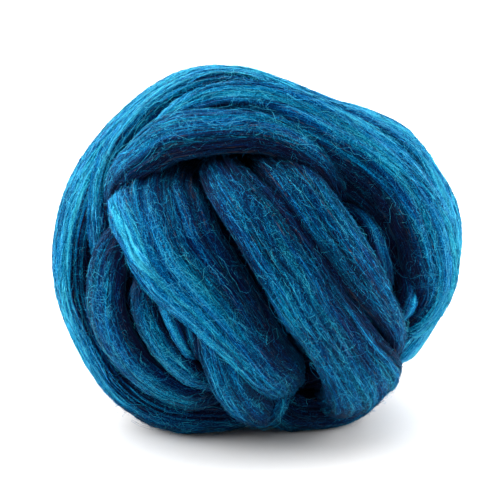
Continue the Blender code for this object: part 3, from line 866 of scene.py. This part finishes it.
def combed_wool(name, dye, bump_depth):
    """Combed merino top, dyed in the fibre and blended.

    The blend of differently dyed fibres gives long thin streaks of navy, petrol, azure and cyan
    along the strand, over locks and patches where one of them leads. On top of that the tone
    attribute paints light and shade: darker as painted shade where the wool lies deep in creases,
    gaps and under other turns, and lighter or darker across some turns as painted light. Wool
    scatters light at grazing angles, so its edges look pale and silky. It is keratin, with an IOR
    of about 1.55, and its cuticle scales keep the gloss low.
    """
    material, tree, shader = new_material(name)
    strand = add_node(tree, "ShaderNodeUVMap", uv_map=STRAND_MAP).outputs["UV"]

    def streaks(key):
        """Noise drawn out along the strand."""
        across_mm, along_mm, detail, roughness = STREAKS[key]
        scaled = add_node(
            tree, "ShaderNodeVectorMath",
            {0: strand, 1: (1 / across_mm, 1 / along_mm, 0.0)}, operation="MULTIPLY",
        )
        noise = add_node(
            tree, "ShaderNodeTexNoise",
            {"Vector": scaled.outputs[0], "Scale": 1.0, "Detail": detail, "Roughness": roughness},
            noise_dimensions="2D",
        )
        return noise.outputs["Fac"]

    place = add_node(tree, "ShaderNodeTexCoord").outputs["Object"]
    patch = add_node(
        tree, "ShaderNodeTexNoise",
        {"Vector": place, "Scale": 1 / (PATCH_SIZE * MM), "Detail": 1.0},
    ).outputs["Fac"]
    fuzz = add_node(
        tree, "ShaderNodeTexNoise",
        {"Vector": place, "Scale": 1 / (FUZZ_SIZE * MM), "Detail": 3.0, "Distortion": 1.2},
    ).outputs["Fac"]
    fine = streaks("fibres")
    patterns = fine, streaks("bundles"), streaks("locks"), patch, fuzz
    # The tone attribute paints light and shade into the colour: painted shade in creases and under
    # turns, painted light on some turns' lit sides.
    blend = add_node(tree, "ShaderNodeAttribute", attribute_name=TONE).outputs["Fac"]
    for pattern, share in zip(patterns, PATTERN_SHARES):
        centred = add_node(tree, "ShaderNodeMath", {0: pattern, 1: 0.5}, operation="SUBTRACT")
        blend = add_node(
            tree, "ShaderNodeMath", {0: centred.outputs[0], 1: share, 2: blend},
            operation="MULTIPLY_ADD",
        ).outputs[0]
    placed = add_node(tree, "ShaderNodeMath", {0: blend, 1: 0.5}, operation="ADD")
    ramp = add_node(tree, "ShaderNodeValToRGB", {"Fac": placed.outputs[0]})
    bar = ramp.color_ramp
    while len(bar.elements) < len(DYE_STOPS):
        bar.elements.new(0.5)
    for element, (position, key) in zip(bar.elements, DYE_STOPS):
        element.position = position
        element.color = (*getattr(dye, key), 1.0)
    undyed = add_node(
        tree, "ShaderNodeMapRange",
        {
            "Value": streaks("undyed"), "From Min": UNDYED_FROM, "From Max": UNDYED_TO,
            "To Max": UNDYED_SHARE,
        },
    )
    base = add_node(
        tree, "ShaderNodeMix",
        {"Factor": undyed.outputs[0], "A": ramp.outputs["Color"], "B": (*dye.undyed, 1.0)},
        data_type="RGBA",
    )
    bath = add_node(
        tree, "ShaderNodeMapRange",
        {
            "Value": streaks("bath"), "From Min": NOISE_SPAN[0], "From Max": NOISE_SPAN[1],
            "To Min": 0.5 - BATH_DRIFT, "To Max": 0.5 + BATH_DRIFT,
        },
    )
    dyed = add_node(
        tree, "ShaderNodeHueSaturation", {"Hue": bath.outputs[0], "Color": base.outputs["Result"]}
    )
    tree.links.new(dyed.outputs["Color"], shader.inputs["Base Color"])
    if bump_depth:
        bump = add_node(
            tree, "ShaderNodeBump",
            {"Height": fine, "Strength": 1.0, "Distance": bump_depth * MM},
        )
        tree.links.new(bump.outputs["Normal"], shader.inputs["Normal"])
    shader.inputs["Roughness"].default_value = dye.roughness
    shader.inputs["IOR"].default_value = 1.55
    shader.inputs["Specular IOR Level"].default_value = dye.gloss
    shader.inputs["Specular Tint"].default_value = (*dye.sheen, 1.0)
    shader.inputs["Sheen Weight"].default_value = 0.25
    shader.inputs["Sheen Roughness"].default_value = 0.35
    shader.inputs["Sheen Tint"].default_value = (*dye.sheen, 1.0)
    return material


def paper_sweep():
    """Matt white background paper, pressed flat: even, without gloss, faintly cloudy."""
    material, tree, shader = new_material("matt_white_paper_sweep")
    place = add_node(tree, "ShaderNodeTexCoord").outputs["Object"]
    grain = add_node(
        tree, "ShaderNodeTexNoise",
        {"Vector": place, "Scale": 1 / (PAPER_GRAIN * MM), "Detail": 2.0},
    )
    tone = add_node(
        tree, "ShaderNodeMapRange",
        {
            "Value": grain.outputs["Fac"],
            "To Min": PAPER_WHITE - PAPER_CLOUD, "To Max": PAPER_WHITE + PAPER_CLOUD,
        },
    )
    tree.links.new(tone.outputs[0], shader.inputs["Base Color"])
    shader.inputs["Roughness"].default_value = 0.9
    shader.inputs["Specular IOR Level"].default_value = 0.1
    return material


# ---------------------------------------------------------------------------------------------
# Settings
# ---------------------------------------------------------------------------------------------


class RovingShape(bpy.types.PropertyGroup):
    """The plain ball under the turns."""

    width: FloatProperty(
        name="Width", description="Width of the plain ball under the relief of the turns",
        default=150 * MM, unit="LENGTH",
    )
    depth: FloatProperty(
        name="Depth", description="Depth of the plain ball, from its face to its back",
        default=138 * MM, unit="LENGTH",
    )
    height: FloatProperty(
        name="Height", description="Height of the plain ball before it is pressed flat",
        default=132 * MM, unit="LENGTH",
    )
    flat_cut: FloatProperty(
        name="Flat spot", description="How far the ball's own weight flattens it underneath",
        default=3.5 * MM, unit="LENGTH",
    )
    tilt: FloatProperty(
        name="Face tilt", description="How far the winding's face looks up from the horizon",
        default=math.radians(16), subtype="ANGLE",
    )
    core_depth: FloatProperty(
        name="Core depth", description="How deep the wool at the bottom of the gaps lies",
        default=22 * MM, unit="LENGTH",
    )

    def sizes(self):
        """The sizes to six places, which drops what single precision adds to them."""
        return Sizes(*(round(getattr(self, key), 6) for key in Sizes._fields))


class RovingDye(bpy.types.PropertyGroup):
    """The dyes that the fibres were blended from, and the wool's gloss."""

    # Painted shade, in creases, under turns and in the gaps' core, takes the blend down to this
    # darkest stop.
    plum: FloatVectorProperty(
        name="Plum", description="Darkest fibres of the blend, with some red in them",
        default=colour("#100e26"), subtype="COLOR", size=3,
    )
    navy: FloatVectorProperty(
        name="Navy", description="Dark blue fibres",
        default=colour("#061d3c"), subtype="COLOR", size=3,
    )
    petrol: FloatVectorProperty(
        name="Petrol", description="Dark green-blue fibres",
        default=colour("#042f58"), subtype="COLOR", size=3,
    )
    azure: FloatVectorProperty(
        name="Azure", description="Leading blue of the blend",
        default=colour("#045583"), subtype="COLOR", size=3,
    )
    cyan: FloatVectorProperty(
        name="Cyan", description="Bright fibres of the blend",
        default=colour("#0482b8"), subtype="COLOR", size=3,
    )
    pale: FloatVectorProperty(
        name="Pale", description="Fibres that took the least dye",
        default=colour("#45b9d6"), subtype="COLOR", size=3,
    )
    undyed: FloatVectorProperty(
        name="Undyed", description="The few brown fibres left in the fleece",
        default=colour("#6a5646"), subtype="COLOR", size=3,
    )
    sheen: FloatVectorProperty(
        name="Sheen", description="Tint of the wool's silky edges",
        default=colour("#0f9fe2"), subtype="COLOR", size=3,
    )
    roughness: FloatProperty(
        name="Roughness", description="How matt the wool is",
        default=0.55, min=0.0, max=1.0, subtype="FACTOR",
    )
    gloss: FloatProperty(
        name="Gloss", description="Specular level of the fibres' scaly skin",
        default=0.06, min=0.0, max=1.0, subtype="FACTOR",
    )


class RovingFibres(bpy.types.PropertyGroup):
    """How many fibres each square millimetre of wool that shows has, and how finely each bends."""

    laid: FloatProperty(
        name="Laid fibres", description="Fibres combed along the strand", default=0.24, min=0.0,
    )
    rear_share: FloatProperty(
        name="Share behind", description="How dense all fibres are behind, against the face",
        default=0.45, min=0.0, subtype="FACTOR",
    )
    laid_knots: IntProperty(
        name="Laid knots", description="Points along each combed fibre", default=8, min=3,
    )
    curled: FloatProperty(
        name="Curled fibres", description="Crimped fibres that lie across the strand",
        default=0.22, min=0.0,
    )
    curled_knots: IntProperty(
        name="Curled knots", description="Points along each curled fibre", default=7, min=3,
    )
    down: FloatProperty(
        name="Down", description="Short fibres that stand up all over", default=0.155, min=0.0,
    )
    down_knots: IntProperty(
        name="Down knots", description="Points along each short fibre", default=4, min=3,
    )
    loose: FloatProperty(
        name="Loose fibres", description="Fibres that stand up from the wool",
        default=0.010, min=0.0,
    )
    loose_knots: IntProperty(
        name="Loose knots", description="Points along each loose fibre",
        default=11, min=3,
    )


class RovingStage(bpy.types.PropertyGroup):
    """The camera and the light tent."""

    distance: FloatProperty(
        name="Camera distance", description="From the lens to the middle of the ball",
        default=0.608, unit="LENGTH",
    )
    elevation: FloatProperty(
        name="Camera elevation", description="How far above the horizon the camera stands",
        default=math.radians(16), subtype="ANGLE",
    )
    lens: FloatProperty(
        name="Lens", description="Focal length on a 36 mm sensor", default=120, unit="CAMERA",
    )
    front_wall: FloatProperty(
        name="Front wall", description="Brightness of the tent's wall behind the camera",
        default=0.05, min=0.0,
    )
    back_wall: FloatProperty(
        name="Back wall", description="Brightness of the tent's wall behind the ball",
        default=2.35, min=0.0,
    )
    roof: FloatProperty(
        name="Roof", description="Brightness that the soft lamp over the roof adds",
        default=2.5, min=0.0,
    )
    side_light: FloatProperty(
        name="Side lamps", description="Power of the soft lamp on each side",
        default=9.0, min=0.0, unit="POWER",
    )


# ---------------------------------------------------------------------------------------------
# Operators
# ---------------------------------------------------------------------------------------------

CORE_NET = 64, 96  # rows from top to bottom, and columns round it
CORE_LOCKS, CORE_LOCK_DEPTH = (40, 8), 1.4 * MM  # rows and columns of locks, and their relief
CORE_SHADE = -0.5  # painted shade: the wool at the bottom of the gaps is painted this dark, as the gaps lie in shade
CORE_GIRTH = 400  # once round it on the dye pattern, in millimetres
CORE_CAP = [[0.5, 0.999], [0.5, 0.9985], [0.501, 0.999]]  # where the ends lie on both maps
CORE_ROOM = 0.99  # how much of the bake map the rest takes, so that the ends stay clear

FLOOR_HALF = 6  # from the middle of the paper to its edges, in metres
WALL_EDGES = -0.4, 0.3  # how far back the tent's front wall ends, and its back wall begins
ROOF_LAMP = -0.26, 0.26, 0.93  # the way to the soft lamp over the tent's roof
ROOF_EDGES = 0.35, 0.97  # how squarely one looks at its rim, and at its middle
SOFTBOX_PLACE, SOFTBOX_SIZE = (0.86, -0.04, 0.34), (0.7, 0.6)  # in metres, once on each side
CAMERA_SHIFT = -0.014, -0.025

# The turns whose fibres make one piece.
FIBRE_GROUPS = {
    "face": ("front_left", "front_lip", "front_right", "front_mid", "under_strand", "brow_bed"),
    "brow": ("brow_low", "brow_high", "top_ring"),
    "left": ("left_loop_outer", "left_loop_middle", "left_loop_inner", "left_loop_last",
             "low_loop", "left_rim"),
    "rear": ("side_ring", "gap_strand_near", "gap_strand_far", *(p.name for p in BACK_TURNS)),
}


def wool(key):
    """The wool material for a group of pieces, made once."""
    name, depth = {
        "turns": ("combed_merino_top", BUMP_DEPTH), "fibres": ("loose_merino_fibres", 0),
    }[key]
    dye = bpy.context.scene.roving_dye
    return bpy.data.materials.get(name) or combed_wool(name, dye, depth)


class ROVING_OT_pack_core(bpy.types.Operator):
    """Make the wool that shows at the bottom of the gaps between the turns"""

    bl_idname = "roving.pack_core"
    bl_label = "Pack the core"

    def execute(self, context):
        shape = context.scene.roving_shape
        sizes = shape.sizes()
        _, shift = wound_ball(sizes)
        rng = np.random.default_rng(SEEDS["core"])
        rows, columns = CORE_NET
        row, column = np.meshgrid(np.arange(rows), np.arange(columns), indexing="ij")
        latitude = math.pi * (0.5 - (row + 0.5) / rows)
        longitude = 2 * math.pi * column / columns
        direction = np.stack([
            np.cos(latitude) * np.cos(longitude),
            np.cos(latitude) * np.sin(longitude),
            np.sin(latitude),
        ], axis=-1)
        spans, cells = CORE_LOCKS
        lock = soft_noise(rng, row * spans / rows, column * cells / columns, *CORE_LOCKS, True)
        depth = shape.core_depth + CORE_LOCK_DEPTH * (1 - np.abs(lock) ** LOCK_ROUNDNESS)
        points = direction * (ball_radius(direction, sizes) - depth)[..., None] + shift

        # A net joins its last row to its first. Here a cap closes each of them instead.
        quads, at_row, at_column = net_faces(rows, columns)
        inside = at_row.max(axis=1) < rows
        ring = np.arange(columns)
        after = (ring + 1) % columns
        top, low = (np.full(columns, rows * columns + end) for end in (0, 1))
        last = (rows - 1) * columns
        caps = np.concatenate([
            np.stack([top, after, ring], axis=1),
            np.stack([low, ring + last, after + last], axis=1),
        ])
        points = np.concatenate([points.reshape(-1, 3), points[[0, -1]].mean(axis=1)])
        u, v = at_row[inside] / rows, at_column[inside] / columns
        cap_map = np.array([CORE_CAP] * len(caps))
        maps = {
            STRAND_MAP: [np.stack([u * CORE_GIRTH / 2, v * CORE_GIRTH], axis=-1), cap_map],
            BAKE_MAP: [np.stack([v, u * CORE_ROOM], axis=-1), cap_map],
        }
        # The core's tone is painted shade.
        add_piece("packed_core", points, CORE_SHADE, [quads[inside], caps], maps, wool("turns"))
        return {"FINISHED"}


def wind_group(context, name, turns):
    """Winds some turns as one piece."""
    sizes = context.scene.roving_shape.sizes()
    skins, _ = wound_ball(sizes)
    add_turns(name, [skins[turn.name] for turn in turns], sky_over(sizes), wool("turns"))


class ROVING_OT_wind_back(bpy.types.Operator):
    """Wind the plain rounds behind the face"""

    bl_idname = "roving.wind_back"
    bl_label = "Wind the back"

    def execute(self, context):
        wind_group(context, "back_rounds", BACK_TURNS)
        return {"FINISHED"}


class ROVING_OT_wind_sides(bpy.types.Operator):
    """Wind the three turns that run round the sides and over the top"""

    bl_idname = "roving.wind_sides"
    bl_label = "Wind the sides"

    def execute(self, context):
        wind_group(context, "side_turns", SIDE_TURNS)
        return {"FINISHED"}


class ROVING_OT_wind_loops(bpy.types.Operator):
    """Wind the small loops at the lower left and the strands in the gap"""

    bl_idname = "roving.wind_loops"
    bl_label = "Wind the loops"

    def execute(self, context):
        wind_group(context, "small_loops", LOOP_TURNS)
        return {"FINISHED"}


class ROVING_OT_wind_brow(bpy.types.Operator):
    """Wind the two turns that arch over the face"""

    bl_idname = "roving.wind_brow"
    bl_label = "Wind the brow"

    def execute(self, context):
        wind_group(context, "brow_turns", BROW_TURNS)
        return {"FINISHED"}


class ROVING_OT_wind_front(bpy.types.Operator):
    """Wind the slanting turns down the face, and the two that lie beneath the others"""

    bl_idname = "roving.wind_front"
    bl_label = "Wind the front"

    def execute(self, context):
        wind_group(context, "front_turns", FRONT_TURNS + UNDER_TURNS)
        return {"FINISHED"}


def shown_tracks(context, group, density, knots, tracks_of, rng):
    """Tracks over what shows of a group's turns, so many for each square millimetre."""
    sizes = context.scene.roving_shape.sizes()
    skins, _ = wound_ball(sizes)
    sky = sky_over(sizes)
    if group == "rear":
        density *= context.scene.roving_fibres.rear_share
    tracks = []
    for name in FIBRE_GROUPS[group]:
        area, _ = shown_cells(skins[name], sky[name])
        count = int(area.sum() / MM**2 * density)
        if count:
            tracks.append(tracks_of(skins[name], sky[name], count, knots, rng))
    return merged(tracks)


def spread_fibres(context, kind, name, tracks_of):
    """Adds a piece of one kind of fibres for each group of turns."""
    fibres = context.scene.roving_fibres
    density, knots = getattr(fibres, kind), getattr(fibres, kind + "_knots")
    rng = np.random.default_rng(SEEDS[kind])
    for group in FIBRE_GROUPS:
        tracks = shown_tracks(context, group, density, knots, tracks_of, rng)
        add_ribbons(f"{name}_{group}", tracks, wool("fibres"))


class ROVING_OT_lay_fibres(bpy.types.Operator):
    """Lay combed fibres along the turns that show"""

    bl_idname = "roving.lay_fibres"
    bl_label = "Lay the fibres"

    def execute(self, context):
        spread_fibres(context, "laid", "laid_fibres", laid_tracks)
        return {"FINISHED"}


class ROVING_OT_curl_fibres(bpy.types.Operator):
    """Scatter fine crimped fibres over the combed ones"""

    bl_idname = "roving.curl_fibres"
    bl_label = "Scatter curled fibres"

    def execute(self, context):
        curls = functools.partial(loose_tracks, length=7, height=0.3, width=0.08)
        spread_fibres(context, "curled", "curled_fibres", curls)
        return {"FINISHED"}


class ROVING_OT_raise_down(bpy.types.Operator):
    """Raise the short down that softens the ball's outline"""

    bl_idname = "roving.raise_down"
    bl_label = "Raise the down"

    def execute(self, context):
        down = functools.partial(loose_tracks, length=5, height=0.8, width=0.07)
        spread_fibres(context, "down", "down", down)
        return {"FINISHED"}


class ROVING_OT_tease_fibres(bpy.types.Operator):
    """Tease fine loose fibres out of the turns"""

    bl_idname = "roving.tease_fibres"
    bl_label = "Tease loose fibres"

    def execute(self, context):
        fibres = context.scene.roving_fibres
        rng = np.random.default_rng(SEEDS["loose"])
        hairs = functools.partial(loose_tracks, length=18, height=1.0, width=0.12)
        tracks = [
            shown_tracks(context, group, fibres.loose, fibres.loose_knots, hairs, rng)
            for group in FIBRE_GROUPS
        ]
        add_hairs("loose_fibres", merged(tracks), wool("fibres"))
        return {"FINISHED"}


class ROVING_OT_set_stage(bpy.types.Operator):
    """Set the pale floor, the light tent and the camera"""

    bl_idname = "roving.set_stage"
    bl_label = "Set the stage"

    def execute(self, context):
        scene = context.scene
        stage = scene.roving_stage
        middle = Vector((0, 0, (CAD_BOX[0].z + CAD_BOX[1].z) / 2))

        net = bmesh.new()
        bmesh.ops.create_grid(net, x_segments=8, y_segments=8, size=FLOOR_HALF)
        mesh = bpy.data.meshes.new("paper_floor")
        net.to_mesh(mesh)
        net.free()
        mesh.materials.append(paper_sweep())
        floor = bpy.data.objects.new("paper_floor", mesh)
        scene.collection.objects.link(floor)

        world = bpy.data.worlds.new("light_tent")
        scene.world = world
        world.use_nodes = True
        tree = world.node_tree
        way = add_node(tree, "ShaderNodeTexCoord").outputs["Generated"]
        depth = add_node(tree, "ShaderNodeSeparateXYZ", {0: way}).outputs["Y"]
        wall = add_node(
            tree, "ShaderNodeMapRange",
            {
                "Value": depth, "From Min": WALL_EDGES[0], "From Max": WALL_EDGES[1],
                "To Min": stage.front_wall, "To Max": stage.back_wall,
            },
            interpolation_type="SMOOTHSTEP",
        )
        near = add_node(
            tree, "ShaderNodeVectorMath", {0: way, 1: ROOF_LAMP}, operation="DOT_PRODUCT"
        )
        roof = add_node(
            tree, "ShaderNodeMapRange",
            {
                "Value": near.outputs["Value"], "From Min": ROOF_EDGES[0],
                "From Max": ROOF_EDGES[1], "To Max": stage.roof,
            },
            interpolation_type="SMOOTHSTEP",
        )
        both = add_node(
            tree, "ShaderNodeMath", {0: wall.outputs[0], 1: roof.outputs[0]}, operation="ADD"
        )
        tree.links.new(both.outputs[0], tree.nodes["Background"].inputs["Strength"])
        tree.nodes["Background"].inputs["Color"].default_value = (1.0, 1.0, 1.0, 1.0)

        for name, side in (("left_softbox", -1), ("right_softbox", 1)):
            light = bpy.data.lights.new(name, "AREA")
            light.shape = "RECTANGLE"
            light.size, light.size_y = SOFTBOX_SIZE
            light.energy = stage.side_light
            lamp = bpy.data.objects.new(name, light)
            lamp.location = (side * SOFTBOX_PLACE[0], *SOFTBOX_PLACE[1:])
            lamp.rotation_euler = (middle - lamp.location).to_track_quat("-Z", "Y").to_euler()
            scene.collection.objects.link(lamp)

        camera = bpy.data.objects.new("camera", bpy.data.cameras.new("camera"))
        camera.data.lens = stage.lens
        camera.data.shift_x, camera.data.shift_y = CAMERA_SHIFT
        away = Vector((0, -math.cos(stage.elevation), math.sin(stage.elevation)))
        camera.location = middle + away * stage.distance
        camera.rotation_euler = (-away).to_track_quat("-Z", "Y").to_euler()
        scene.collection.objects.link(camera)
        scene.camera = camera
        scene.view_settings.view_transform = "Standard"
        return {"FINISHED"}


class ROVING_PT_sidebar(bpy.types.Panel):
    """The steps that make the ball, in order"""

    bl_idname = "ROVING_PT_sidebar"
    bl_label = "Wool Roving Ball"
    bl_space_type = "VIEW_3D"
    bl_region_type = "UI"
    bl_category = "Roving"

    def draw(self, context):
        for step in STEPS:
            self.layout.operator(step.bl_idname)
        for group in SETTINGS:
            box = self.layout.box()
            for key in group.__annotations__:
                box.prop(getattr(context.scene, SETTINGS[group]), key)


SETTINGS = {
    RovingShape: "roving_shape",
    RovingDye: "roving_dye",
    RovingFibres: "roving_fibres",
    RovingStage: "roving_stage",
}
STEPS = (
    ROVING_OT_pack_core,
    ROVING_OT_wind_back,
    ROVING_OT_wind_sides,
    ROVING_OT_wind_loops,
    ROVING_OT_wind_brow,
    ROVING_OT_wind_front,
    ROVING_OT_lay_fibres,
    ROVING_OT_curl_fibres,
    ROVING_OT_raise_down,
    ROVING_OT_tease_fibres,
    ROVING_OT_set_stage,
)


def register():
    for group, name in SETTINGS.items():
        bpy.utils.register_class(group)
        setattr(bpy.types.Scene, name, PointerProperty(type=group))
    for step in STEPS:
        bpy.utils.register_class(step)
    bpy.utils.register_class(ROVING_PT_sidebar)


def unregister():
    bpy.utils.unregister_class(ROVING_PT_sidebar)
    for step in reversed(STEPS):
        bpy.utils.unregister_class(step)
    for group, name in SETTINGS.items():
        delattr(bpy.types.Scene, name)
        bpy.utils.unregister_class(group)


def main():
    register()
    bpy.ops.roving.pack_core()
    bpy.ops.roving.wind_back()
    bpy.ops.roving.wind_sides()
    bpy.ops.roving.wind_loops()
    bpy.ops.roving.wind_brow()
    bpy.ops.roving.wind_front()
    bpy.ops.roving.lay_fibres()
    bpy.ops.roving.curl_fibres()
    bpy.ops.roving.raise_down()
    bpy.ops.roving.tease_fibres()
    bpy.ops.roving.set_stage()


if __name__ == "__main__":
    main()
